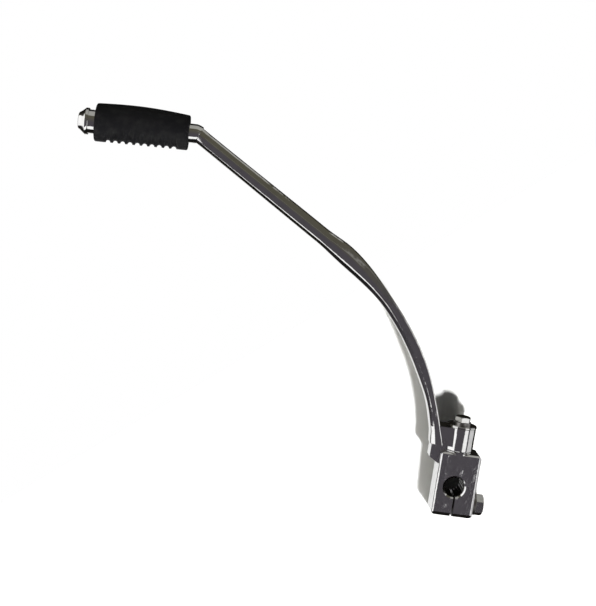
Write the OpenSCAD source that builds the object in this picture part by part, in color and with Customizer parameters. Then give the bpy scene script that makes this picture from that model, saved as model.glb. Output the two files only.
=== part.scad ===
// Kick start lever: a splined clamp boss, a folding arm on the boss's pivot spindle, and a ribbed foot rubber.
// Millimetres. The origin is the centre of the splined bore. Y runs along the kick shaft, with the outer side
// towards -Y. Z is the folding axis, upwards. The arm is drawn folded in, over the side towards -X.

/* [Splined boss] */
// Distance from the bore's centre to the boss's side under the arm
boss_left = 12.6; // [12:0.2:14]
// Distance from the bore's centre to the side the pinch bolt goes in
boss_right = 15.4; // [14:0.2:17]
// Depth of the boss along the kick shaft
boss_d = 19; // [17:0.5:21]
// Height of the boss's top face above the bore's centre
boss_top = 23.2; // [22:0.2:24]
// Distance from the bore's centre down to the underside
boss_bottom = 21; // [20:0.5:22.5]
// Diameter across the bottoms of the spline grooves
spline_major = 14; // [13:0.1:14.4]
// Radial depth of each spline groove
spline_depth = 0.55; // [0.4:0.05:0.7]
// Number of spline grooves
spline_count = 20; // [18:1:24]
// Width of the clamping slit
slit_w = 1.3; // [1:0.1:2]
// Distance from the bore's centre sideways to the slit's middle
slit_x = 1.2; // [0:0.1:1.6]
// Lead-in chamfer at both mouths of the bore
bore_chamfer = 1.5; // [0.8:0.1:1.8]
// Chamfer along the lower edges
lower_chamfer = 3; // [1.5:0.25:3.5]

/* [Folding pivot] */
// Diameter of the pivot spindle
spindle_d = 11; // [10.6:0.1:12]
// Outside diameter of the arm's eye
eye_d = 19.5; // [18.5:0.1:21]
// Height of the arm's eye
eye_h = 16; // [15:0.1:17.5]
// Swing of the arm from folded to kicking, in degrees
swing = 90; // [75:1:100]
// Width of the stop key, in degrees
key_arc = 50; // [40:1:55]
// Diameter of the detent ball
ball_d = 4; // [3.8:0.1:4.2]

/* [Arm] */
// Distance from the pivot's axis to the middle of the arm where it leaves the foot
foot_reach = 16; // [15:0.5:17.5]
// Angle of the arm above level where it leaves the foot
foot_angle = 78.2; // [75:0.2:81]
// Angle of the straight upper arm above level
upper_angle = 30.8; // [27:0.2:35]
// Radius of the arm's long bend
bend_r = 185; // [165:5:205]
// Length of the straight upper arm, up to the corner at the peg
upper_length = 116; // [95:1:130]
// Thinnest place above the foot, seen from the front
neck_t = 5.9; // [5:0.1:7.5]
// Thickness of the flattened middle, seen from the front
strap_t = 8; // [7:0.1:9]
// Depth of the flattened middle, front to back
strap_w = 16.5; // [15:0.5:18.5]
// Thickness at the shoulder between the flattened middle and the bar
shoulder_t = 13.2; // [12.5:0.1:14.5]
// Thickness of the upper bar, seen from the front
bar_t = 11; // [10.5:0.1:13]
// Depth of the upper bar, front to back
bar_w = 13; // [12:0.5:14.5]

/* [Peg and rubber] */
// Diameter of the round peg
peg_d = 12.3; // [11.5:0.1:13]
// Length of the rubber
rubber_l = 60; // [50:1:70]
// Diameter of the rubber at its inner end, next to the arm
rubber_inner_d = 22.4; // [21:0.2:25]
// Diameter of the rubber at its outer end
rubber_outer_d = 24.4; // [22:0.2:26]
// Rise of the crown along the rubber's top
rubber_crown = 1.5; // [1:0.1:3]
// Number of ribs round the rubber
rib_count = 10; // [8:1:12]
// Depth of the grooves between the ribs, on the underside
rib_depth = 1.5; // [0.8:0.1:2]
// Largest diameter of the peg's end button
button_d = 17.2; // [16.5:0.1:18.5]

/* [Fasteners] */
// Thread diameter of the pinch bolt
pinch_m = 8; // [7:1:8]
// Thread diameter of the pivot bolt
pivot_m = 6; // [5:1:6]
// Outside diameter of the pivot washer
pivot_washer_d = 20; // [18:0.5:22]

/* [Hidden] */
$fn = 64;
eps = 0.01;
fit_gap = 0.02;        // radial gap of a screw in its thread and of the rubber on its peg
run_gap = 0.05;        // radial running clearance of the eye on the spindle
face_gap = 0.2;        // axial clearance under the arm's eye
float_gap = 0.15;      // axial play of the eye under the pivot washer

// Boss
edge_r = 2;
corner_r = 3;
spline_minor = spline_major - 2 * spline_depth;
groove_half = 180 / spline_count * 0.58;
boss_w = boss_left + boss_right;
boss_x = (boss_right - boss_left) / 2;
plate_top = boss_top + 0.8;
plate_r = eye_d / 2;
lug_x = -19.2;
lug_half = 5.2;
lug_foot = 17.8;
lug_top = plate_top + 2.8;
lug_gap = 0.5;

// Pivot
spindle_r = spindle_d / 2;
eye_r = eye_d / 2;
eye_z = plate_top + face_gap;
eye_top = eye_z + eye_h;
spindle_top = eye_top + float_gap;
key_r = spindle_r + 2.2;
key_h = 2;
key_middle = 321.5;
key_play = 1.5;
ball_r = ball_d / 2;
ball_z = plate_top + 2.6;
ball_x = -(spindle_r + 0.8 - ball_r);
ball_hole_r = ball_r + run_gap;
ball_hole_end = 2.6;
track_gap = 0.2;
pivot_thread_depth = 10;

// Pinch bolt
pinch_z = -12.4;
pinch_r = pinch_m / 2;
pinch_head_h = 0.66 * pinch_m;
pinch_af = 1.625 * pinch_m;
pinch_lock_t = 2.1;
pinch_tip = 3.6 - boss_left;
pinch_seat = boss_right;

// Pivot bolt
pivot_r = pivot_m / 2;
pivot_head_h = 0.62 * pivot_m;
pivot_af = 1.6 * pivot_m;
pivot_washer_t = 1.2;
pivot_lock_t = 1.9;
pivot_tip = spindle_top - pivot_thread_depth + 1;

// Arm
corner_bend_r = 8;
peg_droop = 1.8;
foot_z = lug_top + face_gap;
web_half_top = 7.6;
web_half_bottom = 7.1;
web_fillet_top = 3;
web_fillet_bottom = 14;
stations = 46;

// Peg and rubber
button_l = 7.1;
collar_d = 15.3;
collar_l = 3.8;
rubber_start = 2.9;
peg_l = rubber_start + rubber_l + collar_l + button_l;
rubber_collar = 6.5;
crown_sink = 0.25;
groove_lift = 1.75;

// The arm's path, as [x, z] with the direction in degrees
function dir(a) = [cos(a), sin(a)];
function side(a) = [sin(a), -cos(a)];
foot_dir = 180 - foot_angle;
upper_dir = 180 - upper_angle;
peg_dir = 180 + peg_droop;
foot_at = [-foot_reach, foot_z];
bend_l = bend_r * (upper_dir - foot_dir) * PI / 180;
bend_end = foot_at + bend_r * (side(upper_dir) - side(foot_dir));
corner_turn = peg_dir - upper_dir;
corner_l = corner_bend_r * corner_turn * PI / 180;
straight_l = upper_length - corner_bend_r * tan(corner_turn / 2);
straight_end = bend_end + straight_l * dir(upper_dir);
peg_root = straight_end + corner_bend_r * (side(peg_dir) - side(upper_dir));
path_l = bend_l + straight_l + corner_l;
function path_dir(s) = s < 0 ? foot_dir
  : s < bend_l ? foot_dir + s / bend_r * 180 / PI
  : s < bend_l + straight_l ? upper_dir
  : min(peg_dir, upper_dir + (s - bend_l - straight_l) / corner_bend_r * 180 / PI);
function path_at(s) = s < 0 ? foot_at + s * dir(foot_dir)
  : s < bend_l ? foot_at + bend_r * (side(path_dir(s)) - side(foot_dir))
  : s < bend_l + straight_l ? bend_end + (s - bend_l) * dir(upper_dir)
  : s < path_l ? straight_end + corner_bend_r * (side(path_dir(s)) - side(upper_dir))
  : peg_root + (s - path_l) * dir(peg_dir);

// Arm sections: place, thickness, depth, flat part of the sides, drop of the front face's corners, and where
// the broad bevel along the outer edge begins.
sections = [
  [0, 8.6, 14.6, 0.6, 0.7, 0.3],
  [11, neck_t + 0.6, 15.4, 0.66, 0.7, 0.3],
  [27, neck_t, 17.2, 0.66, 0.6, 0.3],
  [56, strap_t, strap_w + 0.4, 0.64, 0.7, 0.3],
  [98, strap_t, strap_w, 0.62, 0.8, 0.3],
  [144, shoulder_t, bar_w + 2, 0.36, 1.9, 0.55],
  [166, bar_t, bar_w, 0.3, 1.9, 0.62],
  [path_l - 10, bar_t - 1, bar_w - 0.2, 0.3, 1.9, 0.62],
  [path_l + 2, peg_d - 2, peg_d - 1.4, 0.3, 1.9, 0.62]];
function ease(t) = t * t * (3 - 2 * t);
function section_at(s, i = 0) = i >= len(sections) - 2 || s < sections[i + 1][0]
  ? let (a = sections[i], b = sections[i + 1], t = min(1, max(0, (s - a[0]) / (b[0] - a[0]))))
    a + ease(t) * (b - a)
  : section_at(s, i + 1);
function corners(q) = let (t = q[1] / 2, w = q[2] / 2, f = q[3], e = q[4], b = q[5], c = t * (b - 0.12))
  [[t, -f * w - 0.2 * w], [t - c * 0.35, e - w], [t * 0.1, -w], [-t * b, e * 0.6 - w],
   [-t, -f * w], [-t, f * w], [-t * b, w - e * 0.6], [t * 0.1, w], [t - c * 0.35, w - e],
   [t, f * w + 0.2 * w]];
function eased(c) = [for (i = [0:len(c) - 1])
  let (p = c[(i + len(c) - 1) % len(c)], m = c[i], n = c[(i + 1) % len(c)])
  each [m + 0.24 * (p - m), m + 0.24 * (n - m)]];
// The lowest sections lie level, so that the foot ends in a flat underside
function tilt(s) = 90 + (path_dir(s) - 90) * ease(min(1, s / 22));
function placed(s) = let (p = path_at(s), n = side(tilt(s)))
  [for (c = eased(corners(section_at(s)))) [p[0] + n[0] * c[0], -c[1], p[1] + n[1] * c[0]]];

module loft(rings) {
  n = len(rings[0]);
  m = len(rings);
  points = [for (r = rings) each r];
  walls = [for (j = [0:m - 2]) for (i = [0:n - 1]) let (k = (i + 1) % n)
    each [[j * n + i, (j + 1) * n + i, (j + 1) * n + k], [j * n + i, (j + 1) * n + k, j * n + k]]];
  lids = [[for (i = [0:n - 1]) i], [for (i = [n - 1:-1:0]) (m - 1) * n + i]];
  polyhedron(points, concat(walls, lids), convexity = 8);
}

module along_x(x = 0) translate([x, 0, 0]) rotate([0, 90, 0]) children();
module hex(af, h) cylinder(d = af / cos(30), h = h, $fn = 6);

// A hexagon head with its chamfered top, standing on z = 0
module hex_head(af, h) {
  intersection() {
    hex(af, h);
    cylinder(r1 = af / 2 + (h - 0.25) * 1.8, r2 = af / 2 - 0.45, h = h);
  }
}

module ring(ro, ri, h) {
  difference() {
    cylinder(r = ro, h = h);
    translate([0, 0, -1]) cylinder(r = ri, h = h + 2);
  }
}

// A spring washer: a ring with a slanting cut
module split_ring(ro, ri, h) {
  difference() {
    ring(ro, ri, h);
    translate([(ro + ri) / 2, 0, h / 2]) rotate([35, 0, 0]) cube([2 * (ro - ri), 0.8, 4 * h], center = true);
  }
}

module boss_blank() {
  intersection() {
    translate([0, 0, -boss_bottom]) linear_extrude(boss_top + boss_bottom) rounded_plan();
    rotate([90, 0, 0]) linear_extrude(boss_d + 2, center = true) rounded_front();
    rotate([90, 0, 90]) linear_extrude(2 * boss_w, center = true) chamfered_end();
  }
}

module rounded_plan() {
  x = boss_w / 2 - edge_r;
  y = boss_d / 2 - edge_r;
  translate([boss_x, 0]) {
    square([2 * x, boss_d], center = true);
    square([boss_w, 2 * y], center = true);
    for (i = [-1, 1], j = [-1, 1]) translate([i * x, j * y]) circle(edge_r);
  }
}

module rounded_front() {
  x = boss_w / 2 - corner_r;
  top = boss_top - corner_r;
  low = -boss_bottom + corner_r;
  translate([boss_x, 0]) {
    translate([-x, -boss_bottom]) square([2 * x, boss_top + boss_bottom]);
    translate([-boss_w / 2, low]) square([boss_w, top - low]);
    for (i = [-1, 1], z = [low, top]) translate([i * x, z]) circle(corner_r);
  }
}

module chamfered_end() {
  y = boss_d / 2;
  c = lower_chamfer;
  polygon([[-y, c - boss_bottom], [c - y, -boss_bottom], [y - c, -boss_bottom], [y, c - boss_bottom],
    [y, boss_top - 1], [y - 1, boss_top], [1 - y, boss_top], [-y, boss_top - 1]]);
}

// The round seat under the eye, with the lug that carries the folded arm's foot
module seat_plate() {
  intersection() {
    union() {
      cylinder(r = plate_r, h = plate_top);
      translate([0, 0, boss_top - eps]) rotate_extrude() difference() {
        square([plate_r + 0.8, 0.8]);
        translate([plate_r + 0.8, 0.8]) circle(0.8);
      }
    }
    cube([4 * plate_r, boss_d, 4 * boss_top], center = true);
  }
  difference() {
    rotate([90, 0, 0]) linear_extrude(2 * lug_half, center = true)
      polygon([[lug_x, lug_foot], [lug_x, lug_top - 0.8], [lug_x + 0.8, lug_top], [-8, lug_top],
        [-8, boss_top - 11.5], [1 - boss_left, boss_top - 10]]);
    translate([0, 0, plate_top]) cylinder(r = eye_r + lug_gap, h = 10);
  }
}

module stop_key() {
  rotate([0, 0, key_middle - key_arc / 2]) translate([0, 0, plate_top - eps])
    rotate_extrude(angle = key_arc) translate([spindle_r - 1, 0]) square([key_r - spindle_r + 1, key_h]);
}

// The grooves run out past the tooth tips, so that every tip is a strip of one cylinder
module spline_cut() {
  tip = spline_minor / 2;
  half = tip * sin(groove_half);
  floor_half = 0.22;
  inside = 0.5;
  half_in = half + (half - floor_half) * inside / spline_depth;
  rotate([90, 0, 0]) {
    cylinder(r = tip, h = boss_d + 2, center = true);
    linear_extrude(boss_d + 2, center = true) for (i = [0:spline_count - 1])
      rotate(90 + 360 / spline_count * (i + 0.5)) polygon([[tip - inside, -half_in],
        [tip + spline_depth, -floor_half], [tip + spline_depth, floor_half], [tip - inside, half_in]]);
    for (i = [0, 1]) rotate([180 * i, 0, 0]) translate([0, 0, boss_d / 2 - bore_chamfer - inside])
      cylinder(r1 = tip - inside, r2 = tip + bore_chamfer + inside, h = bore_chamfer + 2 * inside);
  }
}

module clamp_boss() {
  color("lightsteelblue") difference() {
    union() {
      boss_blank();
      seat_plate();
      cylinder(r = spindle_r, h = spindle_top - 0.5);
      translate([0, 0, spindle_top - 0.5 - eps]) cylinder(r1 = spindle_r, r2 = spindle_r - 0.5, h = 0.5 + eps);
      stop_key();
    }
    spline_cut();
    translate([slit_x - slit_w / 2, -boss_d, -boss_bottom - 1]) cube([slit_w, 2 * boss_d, boss_bottom - 1]);
    translate([0, 0, pinch_z]) {
      along_x(pinch_tip - 1.5) cylinder(r = pinch_r + fit_gap, h = -pinch_tip + 1.5);
      along_x(0) cylinder(r = pinch_r + 0.3, h = boss_w);
    }
    translate([0, 0, spindle_top - pivot_thread_depth]) cylinder(r = pivot_r + fit_gap, h = 20);
    translate([0, 0, ball_z]) along_x(-spindle_r - 1) cylinder(r = ball_hole_r, h = spindle_r + 1 + ball_hole_end);
  }
}

module pinch_bolt() {
  head = pinch_seat + pinch_lock_t;
  color("silver") translate([0, 0, pinch_z]) {
    along_x(pinch_tip + 0.8) cylinder(r = pinch_r, h = head - pinch_tip - 0.8 + eps);
    along_x(pinch_tip) cylinder(r1 = pinch_r - 0.8, r2 = pinch_r, h = 0.8 + eps);
    along_x(head) hex_head(pinch_af, pinch_head_h);
  }
}

module pinch_lock_washer() {
  color("gray") translate([0, 0, pinch_z]) along_x(pinch_seat)
    rotate([0, 0, 120]) split_ring(1.78 * pinch_r, pinch_r + 0.15, pinch_lock_t);
}

// Plan of the web that joins the arm to its eye, with fillets of radius r where it meets the eye
function web_ring(z, h, r) = let (c = [-sqrt(pow(eye_r - 0.12 + r, 2) - pow(h + r, 2)), -h - r],
    a = atan2(-c[1], -c[0]))
  [each [for (k = [0:5]) let (b = 90 - (90 - a) * k / 5) [c[0] + r * cos(b), c[1] + r * sin(b), z]],
   [-1, -h + 0.5, z], [-1, h - 0.5, z],
   each [for (k = [5:-1:0]) let (b = 90 - (90 - a) * k / 5) [c[0] + r * cos(b), -c[1] - r * sin(b), z]],
   [-foot_reach - 1, h, z], [-foot_reach - 1, -h, z]];

// The web's fillets sweep out wider towards the bottom
module foot_web() {
  loft([for (k = [0:6]) let (t = k / 6) web_ring(foot_z + t * (eye_top - foot_z - 0.4),
    web_half_bottom + (web_half_top - web_half_bottom) * t,
    web_fillet_bottom + (web_fillet_top - web_fillet_bottom) * t)]);
}

module eye_shell() {
  c = 0.7;
  rotate_extrude() polygon([[0, eye_z], [eye_r - c, eye_z], [eye_r, eye_z + c], [eye_r, eye_top - c],
    [eye_r - c, eye_top], [0, eye_top]]);
}

module stop_recess() {
  start = key_middle - key_arc / 2 - key_play - swing;
  rotate([0, 0, start]) translate([0, 0, eye_z - 1]) rotate_extrude(angle = key_arc + swing + 2 * key_play)
    square([key_r + 0.25, key_h + 1.3]);
}

module ball_track() {
  translate([0, 0, ball_z]) {
    rotate([0, 0, 180 - swing]) rotate_extrude(angle = swing) translate([-ball_x, 0]) circle(ball_r + track_gap);
    for (a = [180 - swing, 180]) rotate([0, 0, a]) translate([-ball_x + 0.25, 0, 0]) sphere(ball_r + track_gap);
  }
}

module peg_form() {
  e = peg_l;
  translate([peg_root[0], 0, peg_root[1]]) rotate([0, -90 - peg_droop, 0]) rotate_extrude()
    polygon([[0, -6], [peg_d / 2 - 1.5, -6], [peg_d / 2, -2], [peg_d / 2, e - button_l - collar_l],
      [collar_d / 2, e - button_l - collar_l], [collar_d / 2, e - button_l + 0.6],
      [button_d / 2 - 0.5, e - button_l + 0.6], [button_d / 2, e - button_l + 1.1],
      [button_d / 2, e - button_l + 2.4], [button_d / 2 - 0.7, e - button_l + 3.4],
      [5.6, e - 0.8], [4.8, e], [0, e]]);
}

module kick_arm() {
  color("gainsboro") difference() {
    union() {
      loft([for (k = [0:stations]) placed((path_l + 2) * k / stations)]);
      foot_web();
      eye_shell();
      peg_form();
    }
    translate([0, 0, eye_z - 1]) cylinder(r = spindle_r + run_gap, h = eye_h + 2);
    stop_recess();
    ball_track();
  }
}

// The rubber's radius along its length, without the crown
function rubber_r(x) = (rubber_inner_d + (rubber_outer_d - rubber_inner_d) * x / rubber_l) / 2;
rib_pitch = (rubber_l - 2 * rubber_collar) / rib_count;

module rubber_cone() {
  a = rubber_inner_d / 2;
  b = rubber_outer_d / 2;
  end = rubber_l;
  rotate_extrude() polygon([[0, 0], [a - 1.2, 0], [a - 0.35, 0.35], [a, 1.2], [b, end - 1.2],
    [b - 0.35, end - 0.35], [b - 1.2, end], [0, end]]);
}

// The crown is a round bar along a long arc, which rises out of the cone's top and sinks into it at both ends
module rubber_crown_bar() {
  rise = rubber_crown + crown_sink;
  arc_r = (pow(rubber_l / 2, 2) + pow(rise, 2)) / (2 * rise);
  reach = 2 * asin(rubber_l / 2 / arc_r) + 2;
  slope = atan((rubber_outer_d - rubber_inner_d) / 2 / rubber_l);
  intersection() {
    translate([0, 0, rubber_l / 2]) rotate([90, 0, 0]) rotate([0, 0, -slope]) translate([rise - arc_r, 0])
      rotate([0, 0, -reach / 2]) rotate_extrude(angle = reach, $fn = 256) translate([arc_r, 0])
      circle(rubber_r(rubber_l / 2) - crown_sink, $fn = 64);
    translate([-rubber_outer_d, -rubber_outer_d, 1]) cube([2 * rubber_outer_d, 2 * rubber_outer_d, rubber_l - 2]);
  }
}

// The grooves are deepest on the underside and run out half way up the sides
module peg_rubber() {
  color("dimgray") translate([peg_root[0], 0, peg_root[1]]) rotate([0, -90 - peg_droop, 0])
    translate([0, 0, rubber_start]) difference() {
      union() {
        rubber_cone();
        rubber_crown_bar();
      }
      translate([0, 0, -1]) cylinder(r = peg_d / 2 + fit_gap, h = rubber_l + 2);
      for (i = [0:rib_count - 1]) {
        z = rubber_collar + rib_pitch * (i + 0.5);
        translate([groove_lift, 0, z]) rotate_extrude()
          translate([rubber_r(z) - rib_depth + groove_lift + rib_pitch * 0.36, 0]) circle(rib_pitch * 0.36);
      }
    }
}

module pivot_bolt() {
  seat = spindle_top + pivot_washer_t + pivot_lock_t;
  color("silver") {
    translate([0, 0, pivot_tip + 0.6]) cylinder(r = pivot_r, h = seat - pivot_tip - 0.6 + eps);
    translate([0, 0, pivot_tip]) cylinder(r1 = pivot_r - 0.6, r2 = pivot_r, h = 0.6 + eps);
    translate([0, 0, seat]) rotate([0, 0, 12]) hex_head(pivot_af, pivot_head_h);
  }
}

module pivot_lock_washer() {
  color("gray") translate([0, 0, spindle_top + pivot_washer_t]) rotate([0, 0, 150])
    split_ring(1.95 * pivot_r, pivot_r + 0.1, pivot_lock_t);
}

module pivot_washer() {
  color("silver") translate([0, 0, spindle_top]) difference() {
    ring(pivot_washer_d / 2, pivot_r + 0.2, pivot_washer_t);
    rotate_extrude() translate([pivot_washer_d / 2, pivot_washer_t]) circle(0.35);
  }
}

module detent_ball() {
  color("white") translate([ball_x, 0, ball_z]) sphere(ball_r);
}

// A compression spring between the hole's end and the ball
spring_r = ball_r - 0.55;
wire_r = 0.28;
spring_turns = 5;
spring_a = ball_x + sqrt(pow(ball_r, 2) - pow(spring_r, 2)) + wire_r * 1.3;
spring_b = ball_hole_end - wire_r;
function coil(t) = let (a = 360 * spring_turns * t, x = spring_a + (spring_b - spring_a) * t)
  [for (k = [0:7]) let (b = 45 * k, r = spring_r + wire_r * cos(b))
    [x + wire_r * sin(b), r * sin(a), r * cos(a) + ball_z]];

module detent_spring() {
  color("dimgray") loft([for (k = [0:90]) coil(k / 90)]);
}

clamp_boss();
pinch_bolt();
pinch_lock_washer();
kick_arm();
peg_rubber();
pivot_bolt();
pivot_lock_washer();
pivot_washer();
detent_ball();
detent_spring();
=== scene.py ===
"""Kick start lever: the dressed model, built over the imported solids.

Sizes are in millimetres and become metres by MM. The arm lies folded towards -X. The kick shaft runs along Y,
with its outer end towards -Y, and the folding axis along Z. The origin is the middle of the bore."""

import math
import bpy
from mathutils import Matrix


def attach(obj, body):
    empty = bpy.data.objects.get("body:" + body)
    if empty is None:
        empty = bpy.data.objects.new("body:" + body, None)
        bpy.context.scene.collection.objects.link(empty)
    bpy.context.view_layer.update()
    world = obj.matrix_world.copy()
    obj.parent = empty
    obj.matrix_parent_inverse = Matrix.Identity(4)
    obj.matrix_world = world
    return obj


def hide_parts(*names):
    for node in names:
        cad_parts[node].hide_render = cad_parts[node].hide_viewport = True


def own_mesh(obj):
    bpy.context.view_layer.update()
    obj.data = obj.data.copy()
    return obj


bl_info = {
    "name": "Kick Start Lever",
    "version": (1, 0, 0),
    "blender": (4, 5, 0),
    "location": "View3D > Sidebar > Kick Start",
    "description": "Dresses a packed kick start lever with plated, rubbered and studio-lit pieces",
    "category": "Object",
}

import bmesh
import bpy
from mathutils import Matrix, Vector

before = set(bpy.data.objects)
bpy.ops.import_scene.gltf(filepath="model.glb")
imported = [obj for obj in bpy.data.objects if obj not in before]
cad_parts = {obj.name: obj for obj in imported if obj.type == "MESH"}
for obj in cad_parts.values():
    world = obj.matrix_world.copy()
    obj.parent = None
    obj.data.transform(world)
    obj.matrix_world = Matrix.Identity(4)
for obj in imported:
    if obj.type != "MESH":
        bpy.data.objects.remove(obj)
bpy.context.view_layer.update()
MM = 0.001

# The eye on the spindle
SPINDLE_R = 5.5
RUN_GAP = 0.05
EYE_R = 9.75
EYE_Z = 24.2
EYE_H = 16.0
EYE_TOP = EYE_Z + EYE_H
EYE_EDGE = 0.7
BORE_EDGE = 0.4

# The detent's spring lies along X in the spindle's cross hole
SPRING_L = 4.85
SPRING_START = -2.54
BALL_Z = 26.6

# The arm's path in the XZ plane: a long bend, a straight upper arm and a tight corner at the peg. Directions
# are in degrees from +X towards +Z
FOOT_REACH = 16.0
FOOT_Z = 27.0
FOOT_DIR = 180 - 78.2
UPPER_DIR = 180 - 30.8
PEG_DROOP = 1.8
PEG_DIR = 180 + PEG_DROOP
BEND_R = 185.0
CORNER_R = 8.0
UPPER_LENGTH = 116.0

# The arm's sections lie level at the foot, turn square to the path over LEVEL_L and run on into the peg
LEVEL_L = 22.0
PEG_OVERLAP = 2.0
ARM_RINGS = 220

# The web between foot and eye: half its depth and the radius of its fillets, both at the foot and at the top
WEB_TOP = EYE_TOP - 0.4
WEB_HALF = (7.1, 7.6)
WEB_FILLET = (14.0, 3.0)
WEB_SINK = 0.12
WEB_WALL_R = 8.0
WEB_OVERLAP = 1.0
WEB_RINGS = 24
FILLET_STEPS = 12

# The peg, its collar and button, and the rubber on it
PEG_D = 12.3
PEG_BURIED = 6.0
COLLAR_R = 7.65
COLLAR_L = 3.8
BUTTON_R = 8.6
BUTTON_L = 7.1
RUBBER_START = 2.9
RUBBER_L = 60.0
FIT_GAP = 0.02
PEG_L = RUBBER_START + RUBBER_L + COLLAR_L + BUTTON_L


# The arm's path and sections

def mix(a, b, t):
    return a + t * (b - a)


def ease(t):
    """A smooth step from 0 to 1."""
    t = min(1.0, max(0.0, t))
    return t * t * (3 - 2 * t)


def heading(degrees):
    a = math.radians(degrees)
    return Vector((math.cos(a), math.sin(a)))


def right_of(degrees):
    """The direction to the right of a heading."""
    a = math.radians(degrees)
    return Vector((math.sin(a), -math.cos(a)))


FOOT_AT = Vector((-FOOT_REACH, FOOT_Z))
BEND_L = BEND_R * math.radians(UPPER_DIR - FOOT_DIR)
BEND_END = FOOT_AT + BEND_R * (right_of(UPPER_DIR) - right_of(FOOT_DIR))
CORNER_TURN = PEG_DIR - UPPER_DIR
CORNER_L = CORNER_R * math.radians(CORNER_TURN)
STRAIGHT_L = UPPER_LENGTH - CORNER_R * math.tan(math.radians(CORNER_TURN / 2))
STRAIGHT_END = BEND_END + STRAIGHT_L * heading(UPPER_DIR)
PEG_ROOT = STRAIGHT_END + CORNER_R * (right_of(PEG_DIR) - right_of(UPPER_DIR))
PATH_L = BEND_L + STRAIGHT_L + CORNER_L


def path_dir(s):
    """The path's direction at a length along it."""
    if s < BEND_L:
        return FOOT_DIR + math.degrees(max(0.0, s) / BEND_R)
    if s < BEND_L + STRAIGHT_L:
        return UPPER_DIR
    return min(PEG_DIR, UPPER_DIR + math.degrees((s - BEND_L - STRAIGHT_L) / CORNER_R))


def path_at(s):
    """The path's point at a length along it."""
    if s < BEND_L:
        return FOOT_AT + BEND_R * (right_of(path_dir(s)) - right_of(FOOT_DIR))
    if s < BEND_L + STRAIGHT_L:
        return BEND_END + (s - BEND_L) * heading(UPPER_DIR)
    if s < PATH_L:
        return STRAIGHT_END + CORNER_R * (right_of(path_dir(s)) - right_of(UPPER_DIR))
    return PEG_ROOT + (s - PATH_L) * heading(PEG_DIR)


# Each section: place along the path, thickness, depth, flat share of the sides, drop of the corners below the
# ridge, and where the lower bevel starts, as a share of half the thickness
ARM_SECTIONS = [
    (0, 8.6, 14.6, 0.6, 0.12, 0.3),
    (11, 6.5, 15.4, 0.66, 0.12, 0.3),
    (27, 5.9, 17.2, 0.66, 0.12, 0.3),
    (56, 8.0, 16.9, 0.64, 0.15, 0.3),
    (98, 8.0, 16.5, 0.62, 0.35, 0.3),
    (144, 13.2, 15.0, 0.36, 1.9, 0.55),
    (166, 11.0, 13.0, 0.3, 1.9, 0.62),
    (PATH_L - 10, 10.0, 12.8, 0.3, 1.9, 0.62),
    (PATH_L + PEG_OVERLAP, 10.3, 10.9, 0.3, 1.9, 0.62),
]

# Shares for the section's corners: the ridge above the middle, the lower corner's drop, how much wider the
# upper flat is than the lower one, and the upper bevel with where it starts
RIDGE = 0.1
LOWER_DROP = 0.6
UPPER_FLAT = 0.2
UPPER_BEVEL = 0.35
UPPER_BEVEL_START = 0.12


def arm_section(s):
    """The section at a length along the path, eased between the two that are listed on either side."""
    for a, b in zip(ARM_SECTIONS, ARM_SECTIONS[1:]):
        if s <= b[0]:
            t = ease((s - a[0]) / (b[0] - a[0]))
            return [mix(x, y, t) for x, y in zip(a, b)]
    return ARM_SECTIONS[-1]


def arm_corners(section):
    """A section's corners as (to the right of the path, to the front), with front and rear alike."""
    thickness, depth, flat, drop, bevel = section[1:]
    t, w = thickness / 2, depth / 2
    upper = t - UPPER_BEVEL * t * (bevel - UPPER_BEVEL_START)
    front = [(-t, flat * w), (-t * bevel, w - LOWER_DROP * drop), (RIDGE * t, w), (upper, w - drop),
             (t, (flat + UPPER_FLAT) * w)]
    rear = [(x, -y) for x, y in reversed(front)]
    return [Vector(p) for p in rear + front]


# Meshes

def rounded(corners, share=0.26, steps=4):
    """The closed outline with a curve of steps + 1 points in place of each corner."""
    out = []
    for i, m in enumerate(corners):
        before, after = corners[i - 1], corners[(i + 1) % len(corners)]
        a, b = m + share * (before - m), m + share * (after - m)
        for k in range(steps + 1):
            t = k / steps
            out.append(a * (1 - t) ** 2 + m * (2 * t * (1 - t)) + b * t ** 2)
    return out


def skin(rings, closed=False):
    """Walls between rings of equal length, and a lid on both ends unless the rings close on each other."""
    n = len(rings[0])
    verts = [p for r in rings for p in r]
    pairs = list(zip(range(len(rings)), range(1, len(rings))))
    if closed:
        pairs.append((len(rings) - 1, 0))
    faces = []
    for a, b in pairs:
        for i in range(n):
            j = (i + 1) % n
            faces.append((a * n + i, a * n + j, b * n + j, b * n + i))
    if not closed:
        faces += [tuple(range(n)), tuple(range((len(rings) - 1) * n, len(rings) * n))]
    return verts, faces


def lathe(outline, place, steps=96, closed=False):
    """Turns (radius, height) points round Z, then places them by a matrix."""
    rings = []
    for r, z in outline:
        turns = [math.tau * i / steps for i in range(steps)]
        rings.append([place @ Vector((r * math.cos(a), r * math.sin(a), z)) for a in turns])
    return skin(rings, closed)


def merged(*parts):
    """Several lists of points and faces as one."""
    verts, faces = [], []
    for v, f in parts:
        faces += [tuple(i + len(verts) for i in g) for g in f]
        verts += v
    return verts, faces


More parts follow.
